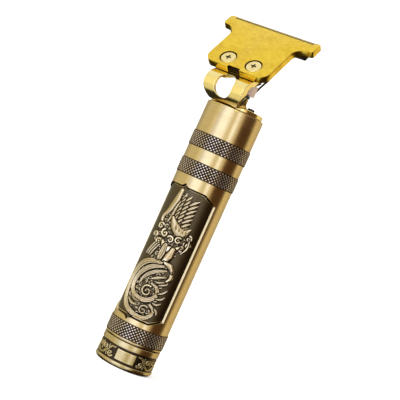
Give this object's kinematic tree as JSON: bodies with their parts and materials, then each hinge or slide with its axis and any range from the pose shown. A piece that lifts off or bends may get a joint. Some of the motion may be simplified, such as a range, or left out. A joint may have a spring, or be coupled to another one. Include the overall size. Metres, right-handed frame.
{
  "type": "hair clipper",
  "caption": "Slim all-metal hair clipper: a knurled brass tube with an ornamental panel, a bottom cap, and a T-shaped blade that leans back on a cast neck bracket.",
  "frame": {"origin": "centre of the flat underside, on the barrel's axis, at the height the clipper stands on", "axes": "+Z along the barrel towards the blade, -Y towards the ornamental panel and the blade's face, +X to the right of someone who looks at the panel"},
  "size_m": [0.0456, 0.0299, 0.1541],
  "materials": {
    "antique_brass": "brushed, worn",
    "bright_gold": "satin gold plate",
    "pale_gold": "polished cast",
    "dark_bronze": "dark patina with rubbed edges",
    "bright_steel": "satin",
    "black_steel": "blackened",
    "cell_sleeve": "shrink sleeve",
    "cream_plastic": "moulded",
    "black_plastic": "moulded",
    "green_board": "coated laminate",
    "clear_plastic": "clear",
    "magnet_grey": "sintered",
    "bearing_bronze": "sintered"
  },
  "bodies": {
    "housing": {"barrel": "antique_brass", "emblem_plate": "dark_bronze", "base_cap": "antique_brass", "end_plate": "dark_bronze", "tactile_switch": "black_plastic", "charging_socket": "bright_steel", "indicator_light": "clear_plastic", "circuit_board": "green_board", "inner_carrier": "black_plastic", "battery_cell": "cell_sleeve", "battery_contact_bottom": "bright_steel", "battery_contact_top": "bright_steel", "motor_can": "bright_steel", "motor_end_bell": "black_plastic", "motor_bush": "bearing_bronze", "motor_magnet_left": "magnet_grey", "motor_magnet_right": "magnet_grey", "neck_bracket": "pale_gold", "neck_screw_left": "black_steel", "neck_screw_right": "black_steel", "fixed_blade": "bright_gold", "blade_screw_left": "bright_gold", "blade_screw_right": "bright_gold", "blade_nut_left": "bright_steel", "blade_nut_right": "bright_steel", "tension_spring": "bright_steel"},
    "power_button": {"power_button": "bright_steel", "button_spring": "bright_steel"},
    "motor_rotor": {"rotor": "bright_steel", "eccentric_cam": "antique_brass", "cam_washer": "black_plastic"},
    "blade_carriage": {"moving_blade": "black_steel", "drive_yoke": "cream_plastic"}
  },
  "joints": [
    {"name": "button_press", "type": "slide", "parent": "housing", "child": "power_button", "axis": [0, 0, 1], "range_m": [0, 0.001], "stiffness_N_per_m": 500, "springref_m": -0.0005, "deforming": ["button_spring"]},
    {"name": "rotor_spin", "type": "hinge", "parent": "housing", "child": "motor_rotor", "pos_m": [0, 0, 0.1], "axis": [0, 0, 1], "continuous": true},
    {"name": "blade_slide", "type": "slide", "parent": "housing", "child": "blade_carriage", "axis": [1, 0, 0], "range_m": [-0.001, 0.001]}
  ]
}
